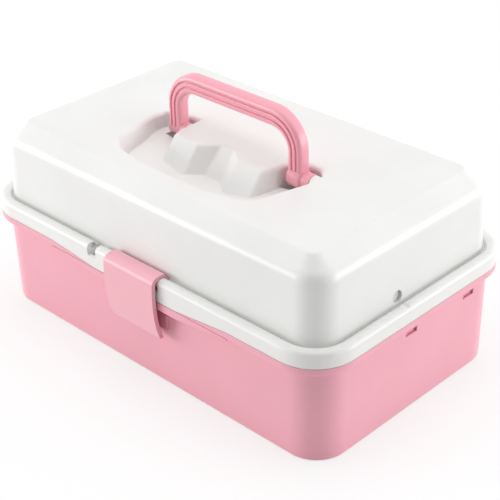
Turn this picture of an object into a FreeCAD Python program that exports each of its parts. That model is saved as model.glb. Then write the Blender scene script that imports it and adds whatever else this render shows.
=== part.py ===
"""Makeup storage case: a tub with two rising trays, a domed lid with a folding bail handle, and a latch.

The frame stands at the centre of the underside. +X runs along the length, +Y to the hinge side and +Z up.
Every size is in millimetres.
"""
import math
import os

import FreeCAD
import Part

V = FreeCAD.Vector

# ---- the case as a whole -------------------------------------------------------------------------
case_len = 330.0            # over the rim, along X
case_wid = 201.0            # over the rim, along Y
parting_z = 76.3            # where lid and tub meet at the back and the ends
body_gap = 0.3              # between pieces that move past each other
cut_over = 1.0              # how far a cut runs past the face it opens
bite = 1.0                  # how far a joined piece reaches into its neighbour
wall = 2.4                  # moulded wall of tub and lid
rim_radius = 32.0           # plan corners of rim and flange

# ---- tub -----------------------------------------------------------------------------------------
end_inset = 6.85            # underside from the rim's face, at each end
side_inset = 8.35           # underside from the rim's face, front and back
tub_radius = 24.0           # plan corners of the underside
tub_lean = 0.8              # how far each wall leans out over its height
tub_edge_round = 2.0        # edge round the underside
floor_thick = 2.4
flange_thick = 6.0          # flange under the parting line
flange_round = 2.6          # lower outer edge of the flange
slot_wid = 11.4             # windows of the arm pivots in the end walls, along Y
slot_high = 3.8
slot_deep = 1.6             # how far a pivot's head lies inside its window
slot_seat = 0.9             # how far the head stands in from the wall's inner face
pivot_boss_len = 6.0        # bosses that hold the arms off the end walls

# ---- dip of the rim round the latch ---------------------------------------------------------------
dip_drop = 4.7
dip_half_flat = 40.0
dip_half_all = 87.0

# ---- lid -----------------------------------------------------------------------------------------
lid_high = 66.7             # flat top panel above the parting line
bead_high = 11.7            # rounded bead round the rim
bead_wid = 8.2
bead_round = 3.4
ledge_drop = 3.6            # narrow ledge between bead and dome, below the bead's top
dome_inset = 10.5           # dome wall from the rim's face, at the ledge
shoulder_inset = 12.0       # dome wall from the rim's face, at the shoulder
shoulder_drop = 11.3        # shoulder below the panel
panel_inset_end = 26.5      # flat panel from the rim's face, at each end
panel_inset_side = 24.5
dome_radius = 20.0          # plan corners of the dome at the ledge
shoulder_radius = 19.0
panel_radius = 6.0
shoulder_round = 12.0
panel_round = 2.5
band_wall_side = 0.6        # share of the wall by which the hollow's panel draws in
band_wall_drop = 0.4        # share of the wall by which the hollow's shoulder comes down
least_radius = 1.0
skirt_groove_deep = 2.6     # groove in the lid's underside that takes the tub's rib
skirt_groove_wid = 3.0
skirt_groove_inset = 3.4
rib_gap = 0.4

# ---- handle and its recess ------------------------------------------------------------------------
handle_half = 63.2          # half the span over the legs
leg_wid = 12.0
leg_deep = 10.5
handle_rise = 45.7          # top of the bail above its pivots
bar_high = 13.8
handle_outer_round = 27.0
handle_edge_round = 2.9
right_foot_r = 7.5          # the right foot is flared round its pivot, the left one is as deep as its leg
foot_round = 2.0
groove_wid = 1.5            # the two grooves that follow the bail
groove_deep = 1.2
groove_offsets = (3.9, 7.6)
pivot_drop = 6.0            # handle pivots below the panel
hub_out = 7.3               # outer face of the right foot's hub, beyond the foot
pin_r = 2.4
pin_fit = 0.05
pin_sink = 5.0              # how far a handle pin goes into its foot
pin_hold = 4.0              # how far it goes into the lid
seat_r = 5.3
recess_lip_round = 3.0
recess_corner_round = 4.0
grip_corner_round = 3.5
recess_over = 5.0           # how far the recess is drawn past the panel before it is cut
side_floor_drop = 11.9      # recess floor under the folded legs, below the panel
middle_floor_drop = 18.0    # recess floor in the middle
middle_floor_half = 22.0
well_drop = 21.0            # wells under the feet
well_gap = 0.6              # round each foot in its well
well_room = 2.8             # from a foot's outer face to the end of its well
pocket_room = 12.3          # from a foot's outer face to the recess's outer wall
grip_room = 4.7             # from a leg's inner face to the finger grip
pocket_back = 9.0
# outline of the recess at the panel, and where its walls reach further down: each point's distance in
# from the outer wall, and its place along Y; then the last point before the middle, along X and Y
recess_bend_y = -25.0       # a slight bend of the edge, which isn't rounded
recess_edge_in = ((6.5, pocket_back), (0.0, 3.0), (0.0, -8.0), (3.5, recess_bend_y), (10.0, -50.0),
                  (19.5, -57.5))
recess_edge_mid = (30.0, -62.5)
recess_foot_in = ((8.0, 8.0), (0.0, 2.5), (0.0, -7.0), (9.5, -25.0), (15.5, -46.5), (24.0, -53.0))
recess_foot_mid = (27.0, -57.5)
recess_foot_drop = 16.0
bend_reach = 2.4
# outline of the finger grip in the same way, measured in from its ends
grip_edge_in = ((0.0, -8.0), (4.0, -18.5))
grip_edge_mid = ((18.5, -19.0), (6.0, -8.5))
grip_foot_in = ((-1.5, -14.0), (3.0, -38.0))
grip_foot_mid = ((19.5, -37.0), (8.0, -27.5))
grip_foot_drop = 22.0

# ---- latch ---------------------------------------------------------------------------------------
latch_half = 24.0
latch_thick = 3.0
latch_rod_r = 2.0
latch_rod_in = 5.1          # rod axis from the rim's face
latch_rod_rise = 0.8        # and above the ledge
curl_r = 5.1
# the plate's face from the rim's face, and above the parting line
latch_profile = ((-4.4, 7.7), (-4.6, -9.3), (-3.0, -22.3), (0.2, -33.8))
latch_top_round = 5.5
catch_high = 3.0
catch_in = 4.0              # ends of the catch from the latch's ends
catch_sink = 0.6            # how far the catch starts inside the plate's face
notch_from = 38.0           # gap in the bead where the rod is slid in
notch_to = 46.0
notch_deep = 8.0            # below the bead's top
notch_past_bead = 1.8
drain_wid = 3.4             # slot in the notch's floor
drain_front = 2.4
drain_back = 5.6
rod_sink = 7.5              # how far the rod reaches past the latch on the right
rod_tail = 1.5              # how far it stays inside the bead on the left
stop_half = 25.2            # low stop on the tub behind the latch
stop_high = 12.0
stop_drop = 29.3            # underside of the stop below the parting line
stop_out = 2.2

# ---- hinge ---------------------------------------------------------------------------------------
hinge_back = 4.2            # hinge axis behind the rim's face
knuckle_r = 3.6
hinge_pin_r = 1.5
hinge_in = 70.0             # middle of each hinge from the end of the case
lid_knuckle_wid = 16.0
lid_knuckle_web = 6.0
tub_knuckle_wid = 9.0

# ---- trays and arms --------------------------------------------------------------------------------
tray_wall = 2.0
tray_radius = 9.0
divider_drop = 4.0
arm_room = 3.5              # from the lower tray's end to its arms
upper_arm_gap = 0.4         # from the lower tray's end to the upper arms
upper_arm_room = 2.9        # from the upper tray's end to its arms
lower_front_room = 7.75     # lower tray from the tub's inner faces
lower_back_room = 11.75
lower_tray_low = 29.3       # underside of the lower tray below the parting line
lower_tray_high = 27.0
upper_front_step = 12.0     # upper tray in from the lower tray's faces
upper_back_step = 10.0
upper_tray_low = 1.7        # underside of the upper tray above the parting line
upper_tray_high = 28.0
lower_divider_share = 0.333
upper_divider_shares = (0.212, 0.608)
arm_reach = 50.0
arm_wid = 9.0
arm_thick = 2.6
arm_rest_deg = 184.9
arm_pin_r = 2.2
arm_pin_out = 0.1
ear_wid = 12.0
ear_root = 6.0
spacer_sink = 0.5
tub_pivot_back = 21.3       # rear arm pivot before the lower tray's back
tub_pivot_step = 60.9       # front arm pivot before the rear one
tub_pivot_drop = 14.3       # arm pivots below the parting line
ear_pivot_back = 16.0
ear_pivot_step = 63.0
ear_pivot_rise = 14.7
lid_eye_ahead = 119.5       # lid end of the lid links, before the hinge and above the parting line
lid_eye_rise = 15.3
tray_eye_ahead = 41.6       # lower tray's end of the lid links
tray_eye_drop = 3.9
link_play = 1.75            # play of the link's open eye round its pin, on the radius
lid_eye_hole_r = 4.3
lid_eye_hole_in = 3.0       # floor of the hole behind the dome's foot
lid_eye_head_gap = 0.5
lid_eye_head_thick = 0.9
eye_boss_wall = 1.2
pin_head_r = 3.6
pin_head_thick = 0.7
pivot_fit = 0.15            # between a pivot's head and its window
pivot_tail = 0.2

half_len = case_len / 2
half_wid = case_wid / 2
tub_len = case_len - 2 * end_inset
tub_wid = case_wid - 2 * side_inset
tub_top_z = parting_z - body_gap / 2
lid_low_z = parting_z + body_gap / 2
lid_top_z = parting_z + lid_high
bead_top_z = parting_z + bead_high
ledge_z = bead_top_z - ledge_drop
shoulder_z = lid_top_z - shoulder_drop
panel_len = case_len - 2 * panel_inset_end
panel_wid = case_wid - 2 * panel_inset_side
pivot_z = lid_top_z - pivot_drop
handle_top_z = pivot_z + handle_rise
rod_y = -half_wid + latch_rod_in
rod_z = ledge_z + latch_rod_rise
rod_right = latch_half + rod_sink
hinge_y = half_wid + hinge_back
hinge_x = half_len - hinge_in
eye_wall_x = half_len - dome_inset
pocket_half = handle_half + pocket_room
hub_end = handle_half + hub_out
hub_r = side_floor_drop - pivot_drop - body_gap
grip_half = handle_half - leg_wid - grip_room
recess_edge = [(pocket_half - x, y) for x, y in recess_edge_in] + [recess_edge_mid]
recess_foot = [(pocket_half - x, y) for x, y in recess_foot_in] + [recess_foot_mid]
grip_edge = [(grip_half - x, y) for x, y in grip_edge_in] + list(grip_edge_mid)
grip_foot = [(grip_half - x, y) for x, y in grip_foot_in] + list(grip_foot_mid)
foot_radii = (("left", leg_deep / 2), ("right", right_foot_r))
SIDES = ("left", "right")


def sign(side):
    """-1 for the left end and 1 for the right end."""
    return 1 if side == "right" else -1


def box(x0, x1, y0, y1, z0, z1):
    """A box from its least and greatest corners."""
    return Part.makeBox(x1 - x0, y1 - y0, z1 - z0, V(x0, y0, z0))


def rod_x(x0, x1, y, z, r):
    """A round bar along X."""
    return Part.makeCylinder(r, x1 - x0, V(x0, y, z), V(1, 0, 0))


def closed_wire(corners):
    """A closed polygon through corner points."""
    return Part.makePolygon(corners + corners[:1])


def prism(corners, along):
    """A body over a polygon, drawn along a vector."""
    return Part.Face(closed_wire(corners)).extrude(along)


def rounded_wire(length, width, radius, z):
    """A closed outline of four straight sides and four round corners."""
    a = length / 2
    b = width / 2
    c = radius * math.sqrt(0.5)
    edges = []
    for sx, sy in ((1, 1), (-1, 1), (-1, -1), (1, -1)):
        cx = sx * (a - radius)
        cy = sy * (b - radius)
        start = V(cx + sx * radius, cy, z)
        end = V(cx, cy + sy * radius, z)
        if sx * sy < 0:
            start, end = end, start
        edges.append(Part.Arc(start, V(cx + sx * c, cy + sy * c, z), end).toShape())
    sides = []
    for i, edge in enumerate(edges):
        following = edges[(i + 1) % 4]
        sides.append(edge)
        sides.append(Part.makeLine(edge.lastVertex().Point, following.firstVertex().Point))
    return Part.Wire(sides)


def tapered(sections):
    """A body drawn through rounded outlines, each (length, width, radius, z)."""
    return Part.makeLoft([rounded_wire(*s) for s in sections], True, True)


def upright(length, width, radius, z0, z1):
    """A rounded block with upright walls."""
    return tapered([(length, width, radius, z0), (length, width, radius, z1)])


def end_profile_body(points, x0, x1):
    """A prism along X over a polygon of (y, z) points."""
    return prism([V(x0, y, z) for y, z in points], V(x1 - x0, 0, 0))


def front_prism(points, y0, y1):
    """A prism along Y over a polygon of (x, z) points."""
    return prism([V(x, y0, z) for x, z in points], V(0, y1 - y0, 0))


def both_halves(half):
    """The points of one half outline and their mirror images, in order."""
    return list(half) + [(-x, y) for x, y in reversed(half)]


def level_edges(shape, z, keep=lambda e: True):
    """Edges that lie at one height."""
    return [e for e in shape.Edges
            if abs(e.BoundBox.ZMin - z) < 1e-4 and abs(e.BoundBox.ZMax - z) < 1e-4 and keep(e)]


def tub_size(z):
    """Length and width over the tub's walls at a height."""
    lean = tub_lean * z / parting_z
    return tub_len + 2 * lean, tub_wid + 2 * lean


def front_face_y(z):
    """The tub's front face at a height."""
    return -tub_size(z)[1] / 2


def dip_points(z, low_z):
    """Polygon of the dip in the rim, along X and Z, under the height z."""
    return [(-dip_half_all, z), (-dip_half_flat, z - dip_drop), (dip_half_flat, z - dip_drop),
            (dip_half_all, z), (dip_half_all, low_z), (-dip_half_all, low_z)]


def dip_zone(grow):
    """A block over the whole dip, from before the rim to behind it."""
    reach = dip_half_all + grow
    return box(-reach, reach, -half_wid - cut_over, -half_wid + rim_radius, 0, lid_top_z)


def hinge_knuckle(x0, x1, z_from, z_to):
    """A round knuckle with the web that joins it to the rim."""
    web = box(x0, x1, half_wid - bite, hinge_y, min(z_from, z_to), max(z_from, z_to))
    return rod_x(x0, x1, hinge_y, parting_z, knuckle_r).fuse(web)


def pivot_arm(x0, start, end, bore_r, play=0.0):
    """A flat arm with a bore in each round end, the far one wider by the play."""
    dy = end[0] - start[0]
    dz = end[1] - start[1]
    length = math.hypot(dy, dz)
    ny = -dz / length * arm_wid / 2
    nz = dy / length * arm_wid / 2
    corners = [(start[0] + ny, start[1] + nz), (end[0] + ny, end[1] + nz),
               (end[0] - ny, end[1] - nz), (start[0] - ny, start[1] - nz)]
    arm = end_profile_body(corners, x0, x0 + arm_thick)
    ends = ((start, 0.0), (end, play))
    for (y, z), extra in ends:
        arm = arm.fuse(rod_x(x0, x0 + arm_thick, y, z, arm_wid / 2 + extra))
    for (y, z), extra in ends:
        arm = arm.cut(rod_x(x0 - cut_over, x0 + arm_thick + cut_over, y, z, bore_r + extra))
    return arm.removeSplitter()


def arm_end(pivot):
    """The far end of an arm at rest, from its pivot (y, z)."""
    a = math.radians(arm_rest_deg)
    return pivot[0] + arm_reach * math.cos(a), pivot[1] + arm_reach * math.sin(a)


def on_side(shape, side):
    """The piece itself for the right end, or its mirror image for the left."""
    if sign(side) > 0:
        return shape
    return shape.mirror(V(0, 0, 0), V(1, 0, 0))


def arc_through(start, middle, end):
    """A round edge through three points."""
    return Part.Arc(start, middle, end).toShape()


# ---- where the trays, arms and links stand ---------------------------------------------------------
inner_half_wid = tub_wid / 2 - wall
lower_tray_y = (-inner_half_wid + lower_front_room, inner_half_wid - lower_back_room)
upper_tray_y = (lower_tray_y[0] + upper_front_step, lower_tray_y[1] - upper_back_step)
lower_tray_z = (parting_z - lower_tray_low, parting_z - lower_tray_low + lower_tray_high)
upper_tray_z = (parting_z + upper_tray_low, parting_z + upper_tray_low + upper_tray_high)
tub_pivot_y = lower_tray_y[1] - tub_pivot_back
ear_pivot_y = lower_tray_y[1] - ear_pivot_back
tub_pivot_z = parting_z - tub_pivot_drop
ear_pivot_z = parting_z + ear_pivot_rise
tub_pivots = [(tub_pivot_y - tub_pivot_step, tub_pivot_z), (tub_pivot_y, tub_pivot_z)]
ear_pivots = [(ear_pivot_y - ear_pivot_step, ear_pivot_z), (ear_pivot_y, ear_pivot_z)]
lower_pins = [arm_end(p) for p in tub_pivots]
upper_pins = [arm_end(p) for p in ear_pivots]
lid_eye = (hinge_y - lid_eye_ahead, parting_z + lid_eye_rise)
tray_eye = (hinge_y - tray_eye_ahead, parting_z - tray_eye_drop)
end_wall_x = tub_size(tub_pivots[0][1])[0] / 2
lower_arm_in = end_wall_x - wall - pivot_boss_len - body_gap - arm_thick
lower_tray_half = lower_arm_in - arm_room
upper_arm_in = lower_tray_half + upper_arm_gap
upper_tray_half = upper_arm_in - upper_arm_room
arm_bore_r = arm_pin_r + pin_fit


def make_tub():
    """The tub with its flange, dust rib, latch stop, arm bosses, windows and hinge knuckles."""
    low = (tub_len, tub_wid, tub_radius)
    high = (*tub_size(tub_top_z), tub_radius)
    body = tapered([(*low, 0.0), (*high, tub_top_z)])
    body = body.makeFillet(tub_edge_round, level_edges(body, 0.0))
    flange_low = tub_top_z - flange_thick
    flange = upright(case_len, case_wid, rim_radius, flange_low, tub_top_z)
    flange = flange.makeFillet(flange_round, level_edges(flange, flange_low))
    dip_low = front_prism(dip_points(flange_low, flange_low + bite), -half_wid, -tub_wid / 2 + bite)
    stop_z = parting_z - stop_drop
    stop_y = front_face_y(stop_z)
    stop = box(-stop_half, stop_half, stop_y - stop_out, stop_y + bite, stop_z, stop_z + stop_high)
    tub = body.fuse([flange, dip_low, stop])
    tub = tub.cut(front_prism(dip_points(tub_top_z, tub_top_z + cut_over), -half_wid - cut_over,
                              front_face_y(parting_z)))
    inner_low = (tub_len - 2 * wall, tub_wid - 2 * wall, tub_radius - wall, floor_thick)
    inner_high = (high[0] - 2 * wall, high[1] - 2 * wall, tub_radius - wall, tub_top_z + body_gap / 2)
    tub = tub.cut(tapered([inner_low, inner_high]))
    rib = rim_ring(skirt_groove_inset + rib_gap, skirt_groove_wid - 2 * rib_gap,
                   tub_top_z - bite, lid_low_z + skirt_groove_deep - rib_gap)
    tub = tub.fuse(rib.cut(dip_zone(cut_over)))
    inner_x = high[0] / 2 - wall
    for side in SIDES:
        for y, z in tub_pivots:
            boss = rod_x(lower_arm_in + arm_thick + body_gap, inner_x + bite, y, z, arm_wid / 2)
            tub = tub.fuse(on_side(boss, side))
    for side in SIDES:
        for y, z in tub_pivots:
            bore = rod_x(lower_arm_in, inner_x + bite, y, z, arm_bore_r)
            window = box(end_wall_x - wall - slot_seat, half_len, y - slot_wid / 2, y + slot_wid / 2,
                         z - slot_high / 2, z + slot_high / 2)
            tub = tub.cut([on_side(bore, side), on_side(window, side)])
    for side in SIDES:
        for end in (-1, 1):
            middle = sign(side) * hinge_x + end * (lid_knuckle_wid + tub_knuckle_wid + 2 * body_gap) / 2
            tub = tub.fuse(hinge_knuckle(middle - tub_knuckle_wid / 2, middle + tub_knuckle_wid / 2,
                                         tub_top_z, flange_low + flange_round))
        reach = lid_knuckle_wid / 2 + tub_knuckle_wid + cut_over
        tub = tub.cut(rod_x(sign(side) * hinge_x - reach, sign(side) * hinge_x + reach, hinge_y, parting_z,
                            hinge_pin_r + pin_fit))
    return tub.removeSplitter()


def rim_ring(inset, width, z0, z1):
    """An upright ring that follows the rim at an inset from its face."""
    outer = upright(case_len - 2 * inset, case_wid - 2 * inset, rim_radius - inset, z0, z1)
    deep = inset + width
    inner = upright(case_len - 2 * deep, case_wid - 2 * deep, rim_radius - deep, z0 - cut_over, z1 + cut_over)
    return outer.cut(inner)


def dome_bodies(shrink, z_low):
    """The dome's walls and its sloping top, or with a shrink those of its hollow."""
    def section(inset, radius, z):
        side = 2 * (inset + shrink)
        return case_len - side, case_wid - side, max(radius - shrink, least_radius), z
    draw_in = 2 * shrink * band_wall_side
    panel = (panel_len - draw_in, panel_wid - draw_in, panel_radius, lid_top_z - shrink)
    shoulder = section(shoulder_inset, shoulder_radius, shoulder_z - shrink * band_wall_drop)
    lean = (shoulder_inset - dome_inset) / (shoulder_z - ledge_z)
    low = section(dome_inset - lean * (ledge_z - z_low), dome_radius, z_low)
    return tapered([low, shoulder]), tapered([shoulder, panel])


def walls_between(edge, foot, foot_drop, low_drop, grow):
    """A body over a mirrored outline whose walls run from the panel's edge line to a foot outline and on.

    It reaches from low_drop below the panel to recess_over above it, and grows outward by grow.
    """
    rings = []
    for drop in (low_drop, -recess_over):
        share = drop / foot_drop
        half = [(xe + (xf - xe) * share, ye + (yf - ye) * share) for (xe, ye), (xf, yf) in zip(edge, foot)]
        ring = closed_wire([V(x, y, lid_top_z - drop) for x, y in both_halves(half)])
        if grow:
            ring = Part.Face(ring).makeOffset2D(grow, 2, False, False, True).OuterWire
        rings.append(ring)
    return Part.makeLoft(rings, True, True)


def corners_rounded(body, radius, keep):
    """A lofted body with its corner edges rounded, those that keep(box of the edge) picks."""
    full = body.BoundBox.ZLength
    picked = [e for e in body.Edges if abs(e.BoundBox.ZLength - full) < body_gap and keep(e.BoundBox)]
    return body.makeFillet(radius, picked)


def recess_body(grow):
    """The hollow that takes the folded handle, grown on every side to give its moulded shell."""
    low_drop = middle_floor_drop + grow
    hollow = walls_between(recess_edge, recess_foot, recess_foot_drop, low_drop, grow)
    hollow = corners_rounded(hollow, recess_corner_round + grow,
                             lambda b: abs(b.YMax - recess_bend_y) > bend_reach)
    middle_z = lid_top_z - middle_floor_drop - grow
    side_z = lid_top_z - side_floor_drop - grow
    reach = pocket_half + grow + cut_over
    under = both_halves([(reach, middle_z - cut_over), (reach, side_z), (handle_half, side_z),
                         (middle_floor_half, middle_z)])
    front_y = min(y for _, y in recess_edge) - grow - cut_over
    hollow = hollow.cut(front_prism(under, front_y, pocket_back + grow + cut_over))
    for side, foot_r in foot_radii:
        reach = foot_r + well_gap + grow
        well = box(grip_half, handle_half + well_room + grow, -reach, reach,
                   lid_top_z - well_drop - grow, side_z + bite)
        hollow = hollow.fuse(on_side(well, side))
    back = (grip_half, pocket_back + grow + 2 * cut_over)
    back_foot = (grip_foot[0][0], back[1])
    grip = walls_between((back, *grip_edge), (back_foot, *grip_foot), grip_foot_drop,
                         well_drop + grow + cut_over, -grow)
    return hollow.cut(corners_rounded(grip, grip_corner_round, lambda b: b.YMax < 0))


def in_recess(edge):
    """Tell the recess's own lip from the edge of the top panel."""
    b = edge.BoundBox
    reach = pocket_half + bite
    return b.XMin > -reach and b.XMax < reach and b.YMax < pocket_back + bite


def make_lid():
    """The lid: rim with its bead, dome, recess for the handle, knuckles and eyes."""
    rim = upright(case_len, case_wid, rim_radius, lid_low_z, bead_top_z)
    rim = rim.cut(upright(case_len - 2 * bead_wid, case_wid - 2 * bead_wid, rim_radius - bead_wid,
                          ledge_z, bead_top_z + cut_over))
    bead_edges = level_edges(rim, bead_top_z, lambda e: e.BoundBox.XLength > least_radius)
    rim = rim.makeFillet(bead_round, bead_edges)
    dome_walls, dome_top = dome_bodies(0.0, lid_low_z + bite)
    dome = dome_walls.fuse(dome_top).removeSplitter()
    dome = dome.makeFillet(shoulder_round, level_edges(dome, shoulder_z))
    dome = dome.makeFillet(panel_round, level_edges(dome, lid_top_z))
    dome = dome.cut(recess_body(0.0))
    dome = dome.makeFillet(recess_lip_round, level_edges(dome, lid_top_z, in_recess))
    apron = front_prism(dip_points(lid_low_z, lid_low_z + bite), -half_wid,
                        front_face_y(parting_z) - body_gap)
    lid = rim.fuse([dome, apron])
    hollow_walls, hollow_top = dome_bodies(wall, lid_low_z - cut_over)
    lid = lid.cut(hollow_walls.fuse(hollow_top).cut(recess_body(wall)))
    groove = rim_ring(skirt_groove_inset, skirt_groove_wid,
                      lid_low_z - cut_over, lid_low_z + skirt_groove_deep)
    lid = lid.cut(groove.cut(dip_zone(0.0)))
    room = latch_half + body_gap
    pocket = rod_x(-room, room, rod_y, rod_z, curl_r + body_gap)
    front = box(-room, room, -half_wid - cut_over, rod_y, rod_z - curl_r - body_gap, bead_top_z + cut_over)
    notch_z = bead_top_z - notch_deep
    notch = box(-notch_to, -notch_from, -half_wid - cut_over, -half_wid + bead_wid + notch_past_bead,
                notch_z, bead_top_z + cut_over)
    drain = box(-notch_to + cut_over, -notch_to + cut_over + drain_wid, -half_wid + drain_front,
                -half_wid + drain_back, lid_low_z - dip_drop - cut_over, notch_z + cut_over)
    rod_hole = rod_x(-notch_to - rod_tail, rod_right + body_gap, rod_y, rod_z, latch_rod_r + pin_fit)
    lid = lid.cut([pocket, front, notch, drain, rod_hole])
    outer_seat = rod_x(hub_end + body_gap, pocket_half + pin_hold, 0, pivot_z, seat_r)
    inner_seat = rod_x(-foot_face_in, -foot_face_in + pin_hold + bite, 0, pivot_z, seat_r)
    lid = lid.fuse([outer_seat, inner_seat])
    for x0, x1 in handle_pin_spans:
        lid = lid.cut(rod_x(x0, x1, 0, pivot_z, pin_r + pin_fit))
    for side in SIDES:
        head_x = eye_wall_x - lid_eye_hole_in
        boss = rod_x(lower_arm_in + arm_thick + body_gap, head_x + bite, *lid_eye,
                     lid_eye_hole_r + eye_boss_wall)
        lid = lid.fuse(on_side(boss, side))
        lid = lid.cut([on_side(rod_x(head_x, half_len, *lid_eye, lid_eye_hole_r), side),
                       on_side(rod_x(lower_arm_in, half_len, *lid_eye, arm_bore_r), side)])
        start = sign(side) * hinge_x - lid_knuckle_wid / 2
        stop = start + lid_knuckle_wid
        lid = lid.fuse(hinge_knuckle(start, stop, lid_low_z, lid_low_z + lid_knuckle_web))
        lid = lid.cut(rod_x(start - cut_over, stop + cut_over, hinge_y, parting_z, hinge_pin_r + pin_fit))
    return lid.removeSplitter()


def bail_frame(half, top_z, corner, foot_z, y0, y1):
    """A solid arch over the handle's span, flat across Y."""
    c = corner * (1 - math.sqrt(0.5))
    left_top = V(-half + corner, y0, top_z)
    right_top = V(half - corner, y0, top_z)
    path = [Part.makeLine(V(-half, y0, foot_z), V(-half, y0, top_z - corner)),
            arc_through(V(-half, y0, top_z - corner), V(-half + c, y0, top_z - c), left_top),
            Part.makeLine(left_top, right_top),
            arc_through(right_top, V(half - c, y0, top_z - c), V(half, y0, top_z - corner)),
            Part.makeLine(V(half, y0, top_z - corner), V(half, y0, foot_z)),
            Part.makeLine(V(half, y0, foot_z), V(-half, y0, foot_z))]
    return Part.Face(Part.Wire(path)).extrude(V(0, y1 - y0, 0))


def make_handle():
    """The bail with two grooves along its front face and a hub on the right of each foot."""
    y0 = -leg_deep / 2
    y1 = leg_deep / 2
    outer = bail_frame(handle_half, handle_top_z, handle_outer_round, pivot_z, y0, y1)
    inner = bail_frame(handle_half - leg_wid, handle_top_z - bar_high, handle_outer_round - leg_wid,
                       pivot_z - cut_over, y0 - cut_over, y1 + cut_over)
    bail = outer.cut(inner)
    long_edges = [e for e in bail.Edges
                  if e.BoundBox.YLength < least_radius and e.BoundBox.ZMax > pivot_z + least_radius]
    bail = bail.makeFillet(handle_edge_round, long_edges)
    right_foot = rod_x(handle_half - leg_wid, handle_half, 0, pivot_z, right_foot_r)
    right_foot = right_foot.makeFillet(foot_round, right_foot.Edges)
    left_foot = rod_x(-handle_half, left_foot_in, 0, pivot_z, y1)
    bail = bail.fuse([right_foot, left_foot])
    for x0, x1 in hub_spans:
        bail = bail.fuse(rod_x(x0, x1, 0, pivot_z, hub_r))
    half = groove_wid / 2
    for offset in groove_offsets:
        span = handle_half - offset
        top_z = handle_top_z - offset * bar_high / leg_wid
        corner = handle_outer_round - offset
        wide = bail_frame(span + half, top_z + half, corner + half, pivot_z, y0 - cut_over, y0 + groove_deep)
        slim = bail_frame(span - half, top_z - half, corner - half, pivot_z - cut_over,
                          y0 - 2 * cut_over, y0 + groove_deep + cut_over)
        bail = bail.cut(wide.cut(slim))
    for x0, x1 in handle_pin_spans:
        bail = bail.cut(rod_x(x0, x1, 0, pivot_z, pin_r + pin_fit))
    return bail.removeSplitter()


def make_latch():
    """The latch: a bowed plate, a curl round its rod and a catch below the flange."""
    outer = [V(0, -half_wid + lean, parting_z + rise) for lean, rise in latch_profile]
    inner = [p + V(0, latch_thick, 0) for p in outer]
    top_z = rod_z + curl_r
    under_z = top_z - latch_thick
    front_y = outer[0].y
    back_y = inner[0].y
    bend_z = top_z - latch_top_round
    small = latch_top_round - latch_thick
    near = 1 - math.sqrt(0.5)
    front_curve = Part.BSplineCurve()
    front_curve.interpolate([V(0, front_y, bend_z)] + outer[1:])
    back_curve = Part.BSplineCurve()
    back_curve.interpolate([inner[3], inner[2], inner[1], V(0, back_y, bend_z)])
    section = Part.Wire([
        Part.makeLine(V(0, rod_y, top_z), V(0, front_y + latch_top_round, top_z)),
        arc_through(V(0, front_y + latch_top_round, top_z),
                    V(0, front_y + latch_top_round * near, top_z - latch_top_round * near),
                    V(0, front_y, bend_z)),
        front_curve.toShape(),
        Part.makeLine(outer[3], inner[3]),
        back_curve.toShape(),
        arc_through(V(0, back_y, bend_z), V(0, back_y + small * near, under_z - small * near),
                    V(0, back_y + small, under_z)),
        Part.makeLine(V(0, back_y + small, under_z), V(0, rod_y, under_z)),
        Part.makeLine(V(0, rod_y, under_z), V(0, rod_y, top_z))])
    plate = Part.Face(section).extrude(V(2 * latch_half, 0, 0))
    plate.translate(V(-latch_half, 0, 0))
    catch_top = tub_top_z - flange_thick - dip_drop - body_gap
    catch = box(-latch_half + catch_in, latch_half - catch_in, front_y + catch_sink, -half_wid - body_gap,
                catch_top - catch_high, catch_top)
    curl = rod_x(-latch_half, latch_half, rod_y, rod_z, curl_r)
    latch = plate.fuse([curl, catch])
    reach = latch_half + cut_over
    latch = latch.cut(rod_x(-reach, reach, rod_y, rod_z, latch_rod_r + pin_fit))
    return latch.removeSplitter()


def tray_body(half, y_span, z_span, dividers):
    """An open tray with round corners and cross walls."""
    middle = (y_span[0] + y_span[1]) / 2
    wid = y_span[1] - y_span[0]
    outer = upright(2 * half, wid, tray_radius, z_span[0], z_span[1])
    inner = upright(2 * (half - tray_wall), wid - 2 * tray_wall, tray_radius - tray_wall,
                    z_span[0] + tray_wall, z_span[1] + cut_over)
    tray = outer.cut(inner)
    tray.translate(V(0, middle, 0))
    inside = tray_wall / 2
    for x in dividers:
        tray = tray.fuse(box(x - inside, x + inside, y_span[0] + inside, y_span[1] - inside,
                             z_span[0] + inside, z_span[1] - divider_drop))
    return tray


def with_spacers(tray, half, arm_in, pins):
    """A tray with a round spacer out to each arm."""
    for side in SIDES:
        for y, z in pins:
            tray = tray.fuse(on_side(rod_x(half - spacer_sink, arm_in - body_gap, y, z, arm_wid / 2), side))
    return tray


def bored(tray, half, pins):
    """A tray with a bore for each pin through its end walls."""
    for side in SIDES:
        for y, z in pins:
            tray = tray.cut(on_side(rod_x(half - tray_wall - cut_over, half_len, y, z, arm_bore_r), side))
    return tray.removeSplitter()


def make_lower_tray():
    """The lower tray with the raised ears that carry the upper arms."""
    split = lower_divider_share * lower_tray_half
    tray = tray_body(lower_tray_half, lower_tray_y, lower_tray_z, (-split, split))
    ear_x = lower_tray_half - tray_wall
    for side in SIDES:
        for y, z in ear_pivots:
            ear = box(ear_x, lower_tray_half, y - ear_wid / 2, y + ear_wid / 2, lower_tray_z[1] - ear_root, z)
            ear = ear.fuse(rod_x(ear_x, lower_tray_half, y, z, ear_wid / 2))
            tray = tray.fuse(on_side(ear, side))
    tray = with_spacers(tray, lower_tray_half, lower_arm_in, lower_pins + [tray_eye])
    return bored(tray, lower_tray_half, lower_pins + ear_pivots + [tray_eye])


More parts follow.
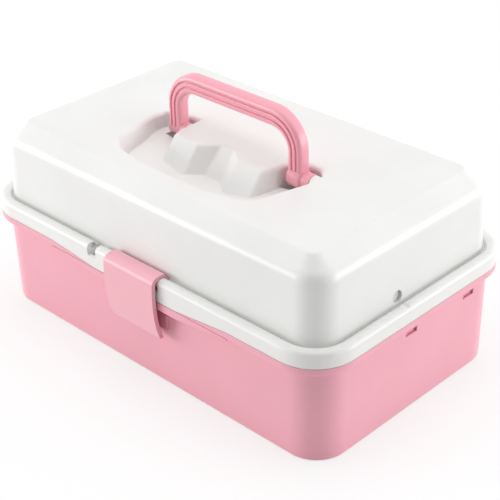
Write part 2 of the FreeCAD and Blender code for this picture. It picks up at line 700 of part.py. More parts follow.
def make_upper_tray():
    """The upper tray with spacers out to the upper arms."""
    splits = [share * upper_tray_half for share in upper_divider_shares]
    tray = tray_body(upper_tray_half, upper_tray_y, upper_tray_z, splits + [-x for x in splits])
    tray = with_spacers(tray, upper_tray_half, upper_arm_in, upper_pins)
    return bored(tray, upper_tray_half, upper_pins)


def headed_pin(x_tail, x_head, y, z, head_r, head_thick):
    """An arm's pin along X whose head lies at its outer end."""
    head = rod_x(x_head, x_head + head_thick, y, z, head_r)
    return rod_x(x_tail, x_head, y, z, arm_pin_r).fuse(head).removeSplitter()


def window_pivot(y, z):
    """A pivot with a flat head that fills its window in the tub's end wall."""
    head = box(end_wall_x - wall - slot_seat, end_wall_x - slot_deep, y - slot_wid / 2 + pivot_fit,
               y + slot_wid / 2 - pivot_fit, z - slot_high / 2 + pivot_fit, z + slot_high / 2 - pivot_fit)
    return rod_x(lower_arm_in - pivot_tail, end_wall_x - wall, y, z, arm_pin_r).fuse(head).removeSplitter()


# ---- the handle's hubs and pins, both on the right of their foot ------------------------------------
grip_lean = (grip_foot[0][0] - grip_edge[0][0]) / grip_foot_drop
foot_face_in = grip_half + grip_lean * (pivot_drop + hub_r)
left_foot_in = leg_wid - handle_half
hub_spans = ((handle_half - bite, hub_end), (left_foot_in - bite, -foot_face_in - body_gap))
handle_pin_spans = ((handle_half - pin_sink, pocket_half + pin_hold),
                    (left_foot_in - pin_sink, -foot_face_in + pin_hold))

nodes = {"tub": make_tub(), "lid": make_lid(), "handle": make_handle(), "latch": make_latch(),
         "lower_tray": make_lower_tray(), "upper_tray": make_upper_tray(),
         "latch_rod": rod_x(-notch_from + rod_tail, rod_right, rod_y, rod_z, latch_rod_r)}
for side, (x0, x1) in zip(("right", "left"), handle_pin_spans):
    nodes["handle_pin_" + side] = rod_x(x0, x1, 0, pivot_z, pin_r)

tray_pin_x = lower_tray_half - tray_wall
lower_out = lower_arm_in + arm_thick
upper_out = upper_arm_in + arm_thick
hinge_reach = lid_knuckle_wid / 2 + body_gap + tub_knuckle_wid
arms = (("lower_arm_", lower_arm_in, tub_pivots, lower_pins),
        ("upper_arm_", upper_arm_in, ear_pivots, upper_pins))
for side in SIDES:
    hinge_middle = sign(side) * hinge_x
    nodes["hinge_pin_" + side] = rod_x(hinge_middle - hinge_reach, hinge_middle + hinge_reach,
                                       hinge_y, parting_z, hinge_pin_r)
    for i, place in enumerate(("front", "rear")):
        tail = place + "_" + side
        for label, x0, starts, ends in arms:
            nodes[label + tail] = on_side(pivot_arm(x0, starts[i], ends[i], arm_bore_r), side)
        low_pin = headed_pin(tray_pin_x, lower_out + arm_pin_out, *lower_pins[i], pin_head_r, pin_head_thick)
        high_pin = rod_x(upper_tray_half - tray_wall, upper_out, *upper_pins[i], arm_pin_r)
        nodes["tub_pivot_" + tail] = on_side(window_pivot(*tub_pivots[i]), side)
        nodes["lower_tray_pin_" + tail] = on_side(low_pin, side)
        nodes["ear_pin_" + tail] = on_side(rod_x(tray_pin_x, upper_out, *ear_pivots[i], arm_pin_r), side)
        nodes["upper_tray_pin_" + tail] = on_side(high_pin, side)
    link = pivot_arm(lower_arm_in, lid_eye, tray_eye, arm_bore_r, link_play)
    lid_pin = headed_pin(lower_arm_in, eye_wall_x - lid_eye_hole_in, *lid_eye,
                         lid_eye_hole_r - lid_eye_head_gap, lid_eye_head_thick)
    nodes["lid_link_" + side] = on_side(link, side)
    nodes["lid_eye_pin_" + side] = on_side(lid_pin, side)
    nodes["tray_eye_pin_" + side] = on_side(rod_x(tray_pin_x, lower_out, *tray_eye, arm_pin_r), side)

os.makedirs("parts", exist_ok=True)
for node, shape in nodes.items():
    shape.exportStep("parts/" + node + ".step")
    print(node, len(shape.Solids), shape.isValid(), round(shape.Volume / 1000, 2))
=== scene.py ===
"""Looks of a moulded storage case: pink tub, white domed lid, bail handle, latch and two rising trays.

Every length is in metres, in the same frame as the solids: origin in the middle of the tub's underside,
+X to the right end, -Y to the latch, +Z up.
"""

from __future__ import annotations

import logging
import math
from dataclasses import dataclass
from enum import Enum
from typing import Any, Callable, Iterable

import bpy
from mathutils import Matrix, Vector

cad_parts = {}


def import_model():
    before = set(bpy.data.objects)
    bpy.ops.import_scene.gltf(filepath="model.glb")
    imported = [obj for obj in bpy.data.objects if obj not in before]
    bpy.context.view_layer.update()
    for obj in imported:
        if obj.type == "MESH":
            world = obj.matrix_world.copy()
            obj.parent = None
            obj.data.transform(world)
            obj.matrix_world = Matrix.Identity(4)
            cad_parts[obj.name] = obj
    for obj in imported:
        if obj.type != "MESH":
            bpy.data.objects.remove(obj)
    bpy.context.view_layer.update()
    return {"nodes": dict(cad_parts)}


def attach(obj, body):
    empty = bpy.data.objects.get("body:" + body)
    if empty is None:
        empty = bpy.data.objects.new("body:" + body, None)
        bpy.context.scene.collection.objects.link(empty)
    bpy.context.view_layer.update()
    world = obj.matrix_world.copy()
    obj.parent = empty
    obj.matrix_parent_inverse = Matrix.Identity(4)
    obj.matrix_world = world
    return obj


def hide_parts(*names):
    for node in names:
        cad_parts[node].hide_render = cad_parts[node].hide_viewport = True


LOG = logging.getLogger("storage_case")
MM = 0.001
QUARTER = math.pi / 2
CLOUDS = (0.3, 0.7)  # the part of a noise that is spread over 0 to 1
OBJECT_PLACES = 3  # outputs of Blender's nodes, by number
FACE_NORMAL = 1
SIDES = ("left", "right")
ENDS = ("front", "rear")


class Body(Enum):
    """Moving bodies that carry a piece modelled here."""

    HANDLE = "handle"


class Slot(Enum):
    """Finishes of the pieces, and a lighter pink for the latch that paints in the extra light on its
    face.
    """

    PINK_SHELL = "pink_shell"
    PINK_LATCH = "pink_latch"
    WHITE_SHELL = "white_shell"
    PINK_HANDLE = "pink_handle"
    WHITE_TRAY = "white_tray"
    PINK_ARM = "pink_arm"
    PINK_PIN = "pink_pin"
    WHITE_PIN = "white_pin"
    STEEL_PIN = "steel_pin"


@dataclass(frozen=True)
class Tone:
    """A colour as it is mixed, in linear light."""

    red: float
    green: float
    blue: float

    def rgba(self) -> tuple[float, float, float, float]:
        """Return the colour with full opacity."""
        return (self.red, self.green, self.blue, 1.0)

    def scaled(self, by: float) -> "Tone":
        """Return the same hue, lighter or darker by a factor."""
        return Tone(min(self.red * by, 1.0), min(self.green * by, 1.0), min(self.blue * by, 1.0))


class Wire:
    """A shader socket that adds, multiplies and compares as a number does."""

    def __init__(self, desk: "Desk", socket: bpy.types.NodeSocket) -> None:
        """Hold a socket of the desk's tree.

        Args:
            desk: the node tree's maker.
            socket: the output socket.
        """
        self.desk = desk
        self.socket = socket

    def _math(self, operation: str, *values: Any, clamp: bool = False) -> "Wire":
        """Return the result of one Math node.

        Args:
            operation: the node's operation.
            values: what goes into its inputs, in order.
            clamp: whether the result is kept in 0 to 1.

        Returns:
            The node's output.
        """
        return self.desk.node(
            "ShaderNodeMath", {"operation": operation, "use_clamp": clamp}, dict(enumerate(values))
        )[0]

    def __add__(self, other: Any) -> "Wire":
        """Return the sum."""
        return self._math("ADD", self, other)

    def __radd__(self, other: Any) -> "Wire":
        """Return the sum, number first."""
        return self._math("ADD", other, self)

    def __sub__(self, other: Any) -> "Wire":
        """Return the difference."""
        return self._math("SUBTRACT", self, other)

    def __rsub__(self, other: Any) -> "Wire":
        """Return the difference, number first."""
        return self._math("SUBTRACT", other, self)

    def __mul__(self, other: Any) -> "Wire":
        """Return the product."""
        return self._math("MULTIPLY", self, other)

    def __rmul__(self, other: Any) -> "Wire":
        """Return the product, number first."""
        return self._math("MULTIPLY", other, self)

    def ramp(self, low: float, high: float) -> "Wire":
        """Return 0 below low, 1 above high and a straight rise between.

        Args:
            low: where the rise starts.
            high: where it ends.

        Returns:
            The rise, kept in 0 to 1.
        """
        return self._math("MULTIPLY", self - low, 1.0 / (high - low), clamp=True)


class Desk:
    """Makes the nodes of one material or world."""

    def __init__(self, tree: bpy.types.NodeTree) -> None:
        """Clear the tree.

        Args:
            tree: the node tree to fill.
        """
        tree.nodes.clear()
        self.tree = tree

    def node(
        self, kind: str, settings: dict[str, Any] | None = None, inputs: dict[Any, Any] | None = None
    ) -> list[Wire]:
        """Add a node.

        Args:
            kind: the node's type name.
            settings: its properties.
            inputs: its inputs by name or number, each a value or a Wire.

        Returns:
            Its outputs in order.
        """
        made = self.tree.nodes.new(kind)
        for name, value in (settings or {}).items():
            setattr(made, name, value)
        for key, value in (inputs or {}).items():
            if isinstance(value, Wire):
                self.tree.links.new(value.socket, made.inputs[key])
            else:
                made.inputs[key].default_value = value
        return [Wire(self, socket) for socket in made.outputs]

    def places(self) -> Wire:
        """Return the point in the case's own frame."""
        return self.node("ShaderNodeTexCoord")[OBJECT_PLACES]

    def noise(self, places: Wire, size: float, detail: float = 2.0, rough: float = 0.5) -> Wire:
        """Return cloudy noise.

        Args:
            places: the points it is read at.
            size: the width of one cloud, in metres.
            detail: how many finer layers it has.
            rough: how strong the finer layers are.

        Returns:
            The noise, about 0.5 on average.
        """
        return self.node(
            "ShaderNodeTexNoise",
            {"noise_dimensions": "3D"},
            {"Vector": places, "Scale": 1.0 / size, "Detail": detail, "Roughness": rough},
        )[0]

    def mixed(self, share: Wire, first: Any, second: Any) -> Wire:
        """Return a colour between two.

        Args:
            share: 0 for the first colour, 1 for the second.
            first: a colour or a Wire.
            second: a colour or a Wire.

        Returns:
            The mixed colour.
        """
        return self.node(
            "ShaderNodeMix", {"data_type": "RGBA"}, {0: share, 6: first, 7: second}
        )[2]

    def bump(self, height: Wire, depth: float, normal: Wire) -> Wire:
        """Return a normal raised by a height.

        Args:
            height: the height, 0 to 1.
            depth: what a height of 1 is, in metres.
            normal: the normal it starts from.

        Returns:
            The new normal.
        """
        return self.node(
            "ShaderNodeBump",
            {},
            {"Strength": 1.0, "Distance": depth, "Height": height, "Normal": normal},
        )[0]

    def rounded(self, radius: float) -> Wire:
        """Return the normal with each edge rounded.

        Args:
            radius: the radius of the rounding, in metres.

        Returns:
            The normal.
        """
        return self.node("ShaderNodeBevel", {"samples": 6}, {"Radius": radius})[0]

    def edges(self, radius: float) -> Wire:
        """Return how near a sharp edge is, 0 on a flat face to 1 at the edge.

        Args:
            radius: how far from the edge it starts, in metres.

        Returns:
            The nearness.
        """
        flat = self.node("ShaderNodeNewGeometry")[FACE_NORMAL]
        turned = self.node(
            "ShaderNodeVectorMath", {"operation": "DOT_PRODUCT"}, {0: flat, 1: self.rounded(radius)}
        )[1]
        return (1.0 - turned).ramp(0.01, 0.22)

    def close(self, shader: Wire) -> None:
        """Join the last shader to the surface output.

        Args:
            shader: the shader.
        """
        self.node("ShaderNodeOutputMaterial", {}, {"Surface": shader})


@dataclass(frozen=True)
class Plastic:
    """Semi-gloss moulded plastic with a fine mould texture, faint flow marks and rubbed edges."""

    name: str
    tone: Tone
    gloss: float
    flow_size: float = 70 * MM
    flow_depth: float = 0.035
    peel_size: float = 4.5 * MM
    peel_depth: float = 0.012 * MM
    grain_size: float = 0.55 * MM
    grain_depth: float = 0.004 * MM
    edge_radius: float = 0.5 * MM
    wear: float = 0.25
    wear_size: float = 9 * MM
    speck_share: float = 0.04
    rub_size: float = 26 * MM
    uneven_gloss: float = 0.03
    bending: float = 1.49

    def make(self) -> bpy.types.Material:
        """Return the material."""
        made = bpy.data.materials.new(self.name)
        made.use_nodes = True
        desk = Desk(made.node_tree)
        places = desk.places()
        flow = desk.noise(places, self.flow_size, 3.0, 0.55).ramp(*CLOUDS)
        speck = desk.noise(places, self.grain_size * 3, 1.0).ramp(0.35, 0.65)
        worn = desk.edges(self.edge_radius * 2) * desk.noise(places, self.wear_size, 3.0).ramp(*CLOUDS)
        body = desk.mixed(
            flow,
            self.tone.scaled(1.0 - self.flow_depth).rgba(),
            self.tone.scaled(1.0 + self.flow_depth * 0.5).rgba(),
        )
        body = desk.mixed(speck * self.speck_share, body, self.tone.scaled(0.9).rgba())
        colour = desk.mixed(worn * self.wear, body, self.tone.scaled(1.3).rgba())
        rubbed = desk.noise(places, self.rub_size, 3.0, 0.5).ramp(0.2, 0.9)
        rough = flow * self.uneven_gloss + rubbed * self.uneven_gloss + worn * 0.12
        rough = rough + (self.gloss - self.uneven_gloss)
        peel = desk.noise(places, self.peel_size, 1.0)
        grain = desk.noise(places, self.grain_size, 1.0)
        normal = desk.bump(peel, self.peel_depth, desk.rounded(self.edge_radius))
        normal = desk.bump(grain, self.grain_depth, normal)
        shader = desk.node(
            "ShaderNodeBsdfPrincipled",
            {},
            {"Base Color": colour, "Roughness": rough, "Normal": normal, "IOR": self.bending},
        )[0]
        desk.close(shader)
        return made


@dataclass(frozen=True)
class Steel:
    """Drawn steel wire with fine lines round it and dull spots."""

    name: str
    tone: Tone
    gloss: float
    lines_per_metre: float = 900.0
    line_depth: float = 0.006 * MM
    spot_size: float = 3 * MM
    edge_radius: float = 0.3 * MM

    def make(self) -> bpy.types.Material:
        """Return the material."""
        made = bpy.data.materials.new(self.name)
        made.use_nodes = True
        desk = Desk(made.node_tree)
        places = desk.places()
        lines = desk.node(
            "ShaderNodeTexWave",
            {"bands_direction": "X"},
            {"Vector": places, "Scale": self.lines_per_metre, "Distortion": 2.0, "Detail": 2.0},
        )[1]
        dull = desk.noise(places, self.spot_size, 3.0, 0.6).ramp(0.4, 0.7)
        colour = desk.mixed(dull, self.tone.rgba(), self.tone.scaled(0.72).rgba())
        rough = dull * 0.18 + lines * 0.06 + self.gloss
        shader = desk.node(
            "ShaderNodeBsdfPrincipled",
            {},
            {
                "Base Color": colour,
                "Metallic": 1.0,
                "Roughness": rough,
                "Normal": desk.bump(lines, self.line_depth, desk.rounded(self.edge_radius)),
            },
        )[0]
        desk.close(shader)
        return made


PINK = Tone(0.905, 0.43, 0.51)
WHITE = Tone(0.86, 0.86, 0.845)

FINISHES = {
    Slot.PINK_SHELL: Plastic("pink_shell_plastic", PINK, 0.34),
    # A lighter copy of the pink shell plastic, with a slight hue shift of its own: painted light for
    # the extra light on the latch's upward-leaning face.
    Slot.PINK_LATCH: Plastic("lit_pink_latch_plastic", Tone(0.93, 0.475, 0.545), 0.32),
    Slot.WHITE_SHELL: Plastic("white_shell_plastic", WHITE, 0.30, edge_radius=1.3 * MM, wear=0.1),
    Slot.PINK_HANDLE: Plastic("pink_handle_plastic", Tone(0.92, 0.40, 0.475), 0.30, peel_size=3 * MM),
    Slot.WHITE_TRAY: Plastic("white_tray_plastic", Tone(0.80, 0.80, 0.785), 0.36),
    Slot.PINK_ARM: Plastic("pink_arm_plastic", Tone(0.84, 0.38, 0.455), 0.36, peel_size=3 * MM),
    Slot.PINK_PIN: Plastic("pink_pin_plastic", Tone(0.82, 0.37, 0.44), 0.38, flow_size=8 * MM),
    Slot.WHITE_PIN: Plastic("white_pin_plastic", Tone(0.74, 0.74, 0.73), 0.38, flow_size=8 * MM),
    Slot.STEEL_PIN: Steel("steel_wire", Tone(0.56, 0.56, 0.57), 0.28),
}


class Paintbox:
    """Keeps one material for each finish."""

    def __init__(self) -> None:
        """Start with no materials."""
        self.made: dict[Slot, bpy.types.Material] = {}

    def get(self, slot: Slot) -> bpy.types.Material:
        """Return the finish's material, made once.

        Args:
            slot: the finish.

        Returns:
            Its material.
        """
        if slot not in self.made:
            self.made[slot] = FINISHES[slot].make()
        return self.made[slot]

    def dress(self, piece: bpy.types.Object, slot: Slot) -> None:
        """Give a piece one finish.

        Args:
            piece: the piece.
            slot: its finish.
        """
        if not piece.material_slots:
            piece.data.materials.append(self.get(slot))
        for held in piece.material_slots:
            held.material = self.get(slot)
        LOG.info("%s dressed in %s", piece.name, slot.value)


@dataclass
class SubAssembly:
    """A group of solids that are dressed together."""

    nodes: dict[str, bpy.types.Object]
    paints: Paintbox

    def dress_all(self, slot: Slot, names: Iterable[str]) -> None:
        """Give several solids one finish.

        Args:
            slot: the finish.
            names: the solids' names.
        """
        for name in names:
            self.paints.dress(self.nodes[name], slot)


class Element(Enum):
    """What is selected on a mesh."""

    CORNER = "VERT"
    FACE = "FACE"


class Joining(Enum):
    """What happens where two pieces overlap."""

    WELD = "UNION"
    DRILL = "DIFFERENCE"


class Bench:
    """One piece in hand, shaped step by step in edit mode."""

    sides_round: int = 48
    bevel_steps: int = 2
    same_place: float = 0.002 * MM
    smooth_below: float = 32.0  # degrees between two faces

    def __init__(self, name: str) -> None:
        """Let go of everything else.

        Args:
            name: the name of the piece to come.
        """
        bpy.ops.object.select_all(action="DESELECT")
        self.name = name
        self.piece: bpy.types.Object | None = None

    def keep(self) -> None:
        """Name the primitive just added and write its place, turn and scale into its mesh."""
        self.piece = bpy.context.active_object
        self.piece.name = self.name
        bpy.ops.object.transform_apply(location=True, rotation=True, scale=True)

    def plate(self, place: tuple[float, float, float], length: float, width: float) -> None:
        """Start from a level plate.

        Args:
            place: its middle.
            length: along X.
            width: along Y.
        """
        bpy.ops.mesh.primitive_plane_add(size=1.0, location=place)
        bpy.context.active_object.scale = (length, width, 1.0)
        self.keep()

    def drum(self, start: float, stop: float, height: float, radius: float) -> None:
        """Start from a round bar along X, in the plane of Y = 0.

        Args:
            start: its left end.
            stop: its right end.
            height: the height of its axis.
            radius: its radius.
        """
        bpy.ops.mesh.primitive_cylinder_add(
            vertices=self.sides_round,
            radius=radius,
            depth=stop - start,
            location=((start + stop) / 2, 0.0, height),
            rotation=(0.0, QUARTER, 0.0),
        )
        self.keep()

    def select(self, what: Element, test: Callable[[Vector, Vector], bool]) -> None:
        """Select the corners or faces that pass a test, and open the piece for editing.

        Args:
            what: corners or faces.
            test: takes the element's place and normal.
        """
        bpy.ops.object.mode_set(mode="EDIT")
        bpy.ops.mesh.select_mode(type=what.value)
        bpy.ops.mesh.select_all(action="DESELECT")
        bpy.ops.object.mode_set(mode="OBJECT")
        mesh = self.piece.data
        if what is Element.CORNER:
            for corner in mesh.vertices:
                corner.select = test(corner.co, corner.normal)
        else:
            for face in mesh.polygons:
                face.select = test(face.center, face.normal)
        bpy.ops.object.mode_set(mode="EDIT")

    def done(self) -> None:
        """Leave edit mode."""
        bpy.ops.object.mode_set(mode="OBJECT")

    def push(self, by: tuple[float, float, float]) -> None:
        """Extrude the selected faces along a vector.

        Args:
            by: the vector.
        """
        bpy.ops.mesh.extrude_region_move(TRANSFORM_OT_translate={"value": by})

    def turn(self, centre: tuple[float, float, float], angle: float, steps: int) -> None:
        """Sweep the selected faces round an axis along Y.

        Args:
            centre: a point of the axis.
            angle: how far, from +Z towards +X.
            steps: in how many steps.
        """
        bpy.ops.mesh.spin(steps=steps, angle=angle, center=centre, axis=(0.0, -1.0, 0.0))

    def take_up(self) -> None:
        """Make this piece the only one in hand."""
        bpy.ops.object.select_all(action="DESELECT")
        self.piece.select_set(True)
        bpy.context.view_layer.objects.active = self.piece

    def combine(self, other: "Bench", joining: Joining) -> None:
        """Weld another piece to this one, or drill it out.

        Args:
            other: the other piece, which is used up.
            joining: which of the two.
        """
        self.take_up()
        joined = self.piece.modifiers.new("joined", "BOOLEAN")
        joined.operation = joining.value
        joined.solver = "EXACT"
        joined.object = other.piece
        bpy.ops.object.modifier_apply(modifier=joined.name)
        bpy.data.objects.remove(other.piece, do_unlink=True)

    def soften(self, width: float, angle: float) -> None:
        """Bevel every edge whose faces turn by more than an angle.

        Args:
            width: the bevel's width.
            angle: the angle, in degrees.
        """
        softened = self.piece.modifiers.new("softened", "BEVEL")
        softened.width = width
        softened.segments = self.bevel_steps
        softened.limit_method = "ANGLE"
        softened.angle_limit = math.radians(angle)
        bpy.ops.object.modifier_apply(modifier=softened.name)

    def finish(self) -> bpy.types.Object:
        """Return the piece, its faces outward and smooth up to its edges."""
        self.take_up()
        bpy.ops.object.mode_set(mode="EDIT")
        bpy.ops.mesh.select_all(action="SELECT")
        bpy.ops.mesh.remove_doubles(threshold=self.same_place)
        bpy.ops.mesh.normals_make_consistent(inside=False)
        bpy.ops.object.mode_set(mode="OBJECT")
        bpy.ops.object.shade_smooth_by_angle(angle=math.radians(self.smooth_below))
        LOG.info("%s modelled, %d faces", self.name, len(self.piece.data.polygons))
        return self.piece


@dataclass
class Tub(SubAssembly):
    """The pink lower shell with its hinge pins and arm pivots."""

    def dress(self) -> None:
        """Give the shell and its pins their finishes."""
        self.dress_all(Slot.PINK_SHELL, ["tub"])
        self.dress_all(Slot.STEEL_PIN, [f"hinge_pin_{side}" for side in SIDES])
        self.dress_all(Slot.PINK_PIN, [f"tub_pivot_{end}_{side}" for end in ENDS for side in SIDES])


@dataclass
class Lid(SubAssembly):
    """The white domed lid with its handle pins, latch rod and the pins of its links."""

    def dress(self) -> None:
        """Give the lid and its pins their finishes."""
        self.dress_all(Slot.WHITE_SHELL, ["lid"])
        self.dress_all(Slot.PINK_HANDLE, [f"handle_pin_{side}" for side in SIDES])
        self.dress_all(Slot.WHITE_PIN, ["latch_rod"] + [f"lid_eye_pin_{side}" for side in SIDES])


@dataclass
class Handle(SubAssembly):
    """The pink bail handle, modelled with soft ribs along its front."""

    half_span: float = 63.2 * MM  # from the middle to a leg's outer face
    leg_wide: float = 12.0 * MM
    leg_deep: float = 10.5 * MM
    bar_share: float = 1.15  # the bar's height over a leg's width
    corner: float = 27.0 * MM
    top: float = 182.7 * MM
    pivot: float = 137.0 * MM
    edge: float = 2.9 * MM
    edge_steps: int = 4
    groove_offsets: tuple[float, float] = (3.9 * MM, 7.6 * MM)  # in from the outer line
    groove_wide: float = 1.5 * MM
    groove_deep: float = 1.2 * MM
    crease_round: float = 0.3 * MM
    crease_angle: float = 50.0
    right_foot: float = 7.5 * MM
    right_foot_edge: float = 2.0 * MM
    left_foot_edge: float = 0.3 * MM
    hub: float = 5.6 * MM
    hub_edge: float = 0.5 * MM
    rim_angle: float = 60.0
    right_hub_end: float = 70.5 * MM
    left_hub_end: float = -47.62 * MM
    bore: float = 2.45 * MM
    bore_sink: float = 5.0 * MM
    sink: float = 1.0 * MM  # how far one piece reaches into the next
    corner_steps: int = 12
    nearly: float = 0.08 * MM  # play when faces are picked by their place
    same_angle: float = 0.01

    def offset(self, place: Vector) -> float:
        """Return how far a point lies in from the bail's outer line.

        Args:
            place: the point.

        Returns:
            The distance.
        """
        across = abs(place.x) - (self.half_span - self.corner)
        above = place.z - (self.top - self.corner)
        if across < 0.0:
            return self.top - place.z
        if above < 0.0:
            return self.half_span - abs(place.x)
        return self.corner - math.hypot(across, above)

    def profile(self, bench: Bench) -> None:
        """Lay the leg's section at the left pivot: rounded corners, and a cut at each groove's border.

        Args:
            bench: the piece.
        """
        middle = self.leg_wide / 2 - self.half_span
        bench.plate((middle, 0.0, self.pivot), self.leg_wide, self.leg_deep)
        bench.select(Element.CORNER, lambda place, normal: True)
        bpy.ops.mesh.bevel(offset=self.edge, segments=self.edge_steps, affect="VERTICES")
        for offset in self.groove_offsets:
            for side in (-0.5, 0.5):
                bpy.ops.mesh.select_all(action="SELECT")
                cut = offset + side * self.groove_wide - self.half_span
                bpy.ops.mesh.bisect(plane_co=(cut, 0.0, self.pivot), plane_no=(1.0, 0.0, 0.0))

    def sweep(self, bench: Bench) -> None:
        """Draw the section up the left leg, round both corners and down the right leg.

        Args:
            bench: the piece.
        """
        rise = self.top - self.corner - self.pivot
        bend = self.half_span - self.corner
        bpy.ops.mesh.select_all(action="SELECT")
        bench.push((0.0, 0.0, rise))
        bench.turn((-bend, 0.0, self.top - self.corner), QUARTER, self.corner_steps)
        bench.push((2 * bend, 0.0, 0.0))
        bench.turn((bend, 0.0, self.top - self.corner), QUARTER, self.corner_steps)
        bench.push((0.0, 0.0, -rise))

    def flute(self, bench: Bench) -> None:
        """Press the two grooves into the front.

        Args:
            bench: the piece.
        """
        reach = self.groove_wide / 2 - self.nearly
        front = self.nearly - self.leg_deep / 2

        def in_groove(place: Vector, normal: Vector) -> bool:
            """Return whether a face lies on the front and between a groove's borders."""
            near = min(abs(self.offset(place) - offset) for offset in self.groove_offsets)
            return place.y < front and near < reach

        bench.select(Element.FACE, in_groove)
        bench.push((0.0, self.groove_deep, 0.0))

    def thicken(self, bench: Bench) -> None:
        """Make the bar higher than the legs are wide, ring by ring round the corners.

        Args:
            bench: the piece.
        """
        middle = self.top - self.corner
        bend = self.half_span - self.corner
        for step in range(1, self.corner_steps + 1):
            angle = step * QUARTER / self.corner_steps

            def on_ring(place: Vector, normal: Vector, angle: float = angle) -> bool:
                """Return whether a corner lies on this step's ring of either bend."""
                across, above = abs(place.x) - bend, place.z - middle
                return above > 0.0 and abs(math.atan2(above, across) - angle) < self.same_angle

            bench.select(Element.CORNER, on_ring)
            outer = (0.0, 0.0, middle + self.corner * math.sin(angle))
            bpy.ops.transform.resize(value=(1.0, 1.0, self.bar_share), center_override=outer)
        bench.done()

    def foot(self, name: str, start: float, stop: float, radius: float, edge: float) -> Bench:
        """Return a round foot, hub or bore.

        Args:
            name: its name.
            start: its left end.
            stop: its right end.
            radius: its radius.
            edge: how much its rims are rounded, or 0 for sharp rims.

        Returns:
            The piece, ready to be joined.
        """
        bench = Bench(name)
        bench.drum(start, stop, self.pivot, radius)
        if edge:
            bench.soften(edge, self.rim_angle)
        return bench

    def build(self) -> bpy.types.Object:
        """Return the whole bail."""
        bench = Bench("handle_bail")
        self.profile(bench)
        self.sweep(bench)
        self.flute(bench)
        self.thicken(bench)
        bench.soften(self.crease_round, self.crease_angle)
        outer, inner = self.half_span, self.half_span - self.leg_wide
        rounds = (
            ("right_foot", inner, outer, self.right_foot, self.right_foot_edge),
            ("left_foot", -outer, -inner, self.leg_deep / 2, self.left_foot_edge),
            ("right_hub", outer - self.sink, self.right_hub_end, self.hub, self.hub_edge),
            ("left_hub", -inner - self.sink, self.left_hub_end, self.hub, self.hub_edge),
        )
        for sizes in rounds:
            bench.combine(self.foot(*sizes), Joining.WELD)
        bores = (
            ("right_bore", outer - self.bore_sink, self.right_hub_end + self.sink),
            ("left_bore", -inner - self.bore_sink, self.left_hub_end + self.sink),
        )
        for name, start, stop in bores:
            bench.combine(self.foot(name, start, stop, self.bore, 0.0), Joining.DRILL)
        bail = bench.finish()
        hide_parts("handle")
        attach(bail, Body.HANDLE.value)
        return bail

    def dress(self) -> None:
        """Model the bail and give it its finish."""
        self.paints.dress(self.build(), Slot.PINK_HANDLE)


@dataclass
class Latch(SubAssembly):
    """The pink latch flap."""

    def dress(self) -> None:
        """Give the flap its finish."""
        # The flap gets the lighter pink, which is painted light for the light on its upward-leaning
        # face.
        self.dress_all(Slot.PINK_LATCH, ["latch"])


@dataclass
class Trays(SubAssembly):
    """The two white trays and the pins that they hold."""

    def dress(self) -> None:
        """Give the trays and their pins their finishes."""
        self.dress_all(Slot.WHITE_TRAY, ["lower_tray", "upper_tray"])
        kinds = ("lower_tray_pin", "upper_tray_pin", "ear_pin")
        pins = [f"{kind}_{end}_{side}" for kind in kinds for end in ENDS for side in SIDES]
        self.dress_all(Slot.WHITE_PIN, pins + [f"tray_eye_pin_{side}" for side in SIDES])


@dataclass
class Linkage(SubAssembly):
    """The pink arms that raise the trays as the lid opens."""

    def dress(self) -> None:
        """Give the arms and links their finish."""
        kinds = ("lower_arm", "upper_arm")
        arms = [f"{kind}_{end}_{side}" for kind in kinds for end in ENDS for side in SIDES]
        self.dress_all(Slot.PINK_ARM, arms + [f"lid_link_{side}" for side in SIDES])


@dataclass(frozen=True)
class Viewpoint:
    """Where the camera stands and how it is held."""

    place: tuple[float, float, float] = (0.587287, -0.582415, 0.546136)
    heading: float = 44.7237
    tilt: float = 30.5637
    roll: float = 1.2717
    lens: float = 96.464
    sensor: float = 36.0
    clip: tuple[float, float] = (0.05, 30.0)

    def build(self) -> None:
        """Make the camera, aimed and set as the scene's own."""
        turn, down, lean = (math.radians(x) for x in (self.heading, self.tilt, self.roll))
        reach = math.cos(down)
        ahead = Vector((-math.sin(turn) * reach, math.cos(turn) * reach, -math.sin(down)))
        level = ahead.cross(Vector((0, 0, 1))).normalized()
        below = ahead.cross(level)
        right = level * math.cos(lean) + below * math.sin(lean)
        up = -(below * math.cos(lean) - level * math.sin(lean))
        data = bpy.data.cameras.new("viewpoint")
        data.lens = self.lens
        data.sensor_width = self.sensor
        data.clip_start, data.clip_end = self.clip
        camera = bpy.data.objects.new("viewpoint", data)
        bpy.context.scene.collection.objects.link(camera)
        turned = Matrix((right, up, -ahead)).transposed().to_4x4()
        camera.matrix_world = Matrix.Translation(self.place) @ turned
        bpy.context.scene.camera = camera


@dataclass(frozen=True)
class Softbox:
    """A lamp with an even, oblong face, aimed at the case."""

    name: str
    place: tuple[float, float, float]
    width: float
    height: float
    power: float
    aim: tuple[float, float, float] = (0.0, 0.0, 0.06)

    def build(self) -> None:
        """Make the lamp."""
        data = bpy.data.lights.new(self.name, "AREA")
        data.shape = "RECTANGLE"
        data.size = self.width
        data.size_y = self.height
        data.energy = self.power
        lamp = bpy.data.objects.new(self.name, data)
        bpy.context.scene.collection.objects.link(lamp)
        lamp.location = self.place
        toward = Vector(self.aim) - Vector(self.place)
        lamp.rotation_mode = "QUATERNION"
        lamp.rotation_quaternion = toward.to_track_quat("-Z", "Y")
        LOG.info("lamp %s stands", self.name)


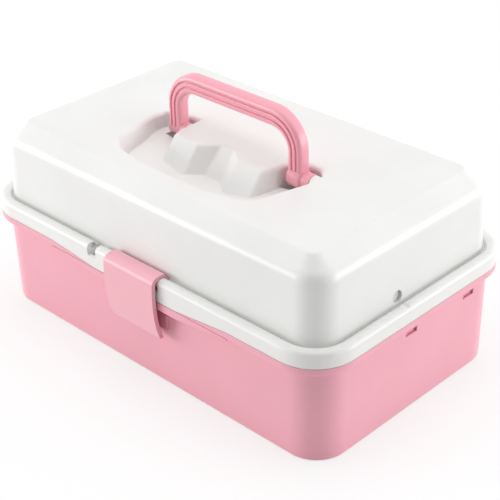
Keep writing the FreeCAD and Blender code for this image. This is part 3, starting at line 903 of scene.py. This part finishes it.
@dataclass(frozen=True)
class Flag:
    """An upright dark card that keeps the even light off the case's near corner."""

    place: tuple[float, float, float] = (1.05, -1.05, 0.9)
    width: float = 2.1
    tone: Tone = Tone(0.03, 0.03, 0.03)
    weave_size: float = 4 * MM

    def build(self) -> None:
        """Make the card, faced to the case."""
        bpy.ops.object.select_all(action="DESELECT")
        toward = Vector((-self.place[0], -self.place[1], 0.0))
        bpy.ops.mesh.primitive_plane_add(
            size=self.width, location=self.place, rotation=toward.to_track_quat("Z", "Y").to_euler()
        )
        card = bpy.context.active_object
        card.name = "flag"
        card.visible_camera = False
        made = bpy.data.materials.new("dark_card")
        made.use_nodes = True
        desk = Desk(made.node_tree)
        weave = desk.noise(desk.places(), self.weave_size).ramp(*CLOUDS)
        colour = desk.mixed(weave, self.tone.rgba(), self.tone.scaled(1.4).rgba())
        desk.close(desk.node("ShaderNodeBsdfDiffuse", {}, {"Color": colour})[0])
        card.data.materials.append(made)


@dataclass(frozen=True)
class Studio:
    """The pale floor, the even surroundings, the dark card and the lamps."""

    floor_width: float = 8.0
    floor_tone: Tone = Tone(0.82, 0.82, 0.82)
    glow: float = 0.62
    glow_strength: float = 1.1
    surround: float = 0.77
    lamps: tuple[Softbox, ...] = (
        Softbox("left_softbox", (-1.35, -1.25, 0.3), 1.3, 0.6, 15.5),
        Softbox("right_softbox", (1.35, 1.1, 0.3), 1.3, 0.6, 13.0),
        Softbox("top_softbox", (0.0, 0.1, 1.9), 1.6, 1.6, 11.5),
    )

    def white_share(self, desk: Desk) -> Wire:
        """Return 1 for the rays that show the background and 0 for those that light the case.

        Args:
            desk: the tree's maker.

        Returns:
            The share.
        """
        rays = desk.node("ShaderNodeLightPath")
        camera, glossy, through = rays[0], rays[3], rays[6]
        return (camera + glossy + through).ramp(0.0, 1.0)

    def build_floor(self) -> None:
        """Make the floor, which keeps the case's shadow."""
        bpy.ops.object.select_all(action="DESELECT")
        bpy.ops.mesh.primitive_plane_add(size=self.floor_width, location=(0, 0, 0))
        floor = bpy.context.active_object
        floor.name = "floor"
        made = bpy.data.materials.new("pale_floor")
        made.use_nodes = True
        desk = Desk(made.node_tree)
        matt = desk.node("ShaderNodeBsdfDiffuse", {}, {"Color": self.floor_tone.rgba()})[0]
        white = desk.node(
            "ShaderNodeEmission", {}, {"Color": (1, 1, 1, 1), "Strength": self.glow_strength}
        )[0]
        share = self.white_share(desk) * self.glow
        desk.close(desk.node("ShaderNodeMixShader", {}, {0: share, 1: matt, 2: white})[0])
        floor.data.materials.append(made)

    def build_surround(self) -> None:
        """Make the world: white to look at, and a plain even light on the case."""
        world = bpy.data.worlds.new("surround")
        bpy.context.scene.world = world
        world.use_nodes = True
        desk = Desk(world.node_tree)
        even, white = (
            desk.node("ShaderNodeBackground", {}, {"Color": (1, 1, 1, 1), "Strength": strength})[0]
            for strength in (self.surround, 1.0)
        )
        mixed = desk.node("ShaderNodeMixShader", {}, {0: self.white_share(desk), 1: even, 2: white})[0]
        desk.node("ShaderNodeOutputWorld", {}, {"Surface": mixed})

    def build(self) -> None:
        """Make the floor, the surroundings and the lamps."""
        self.build_floor()
        self.build_surround()
        Flag().build()
        for lamp in self.lamps:
            lamp.build()


def main() -> None:
    """Load the solids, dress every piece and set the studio."""
    logging.basicConfig(level=logging.INFO, format="%(name)s: %(message)s")
    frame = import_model()
    paints = Paintbox()
    for assembly in (Tub, Lid, Handle, Latch, Trays, Linkage):
        assembly(frame["nodes"], paints).dress()
        LOG.info("%s done", assembly.__name__)
    Studio().build()
    Viewpoint().build()
    bpy.context.scene.view_settings.view_transform = "Standard"


if __name__ == "__main__":
    main()
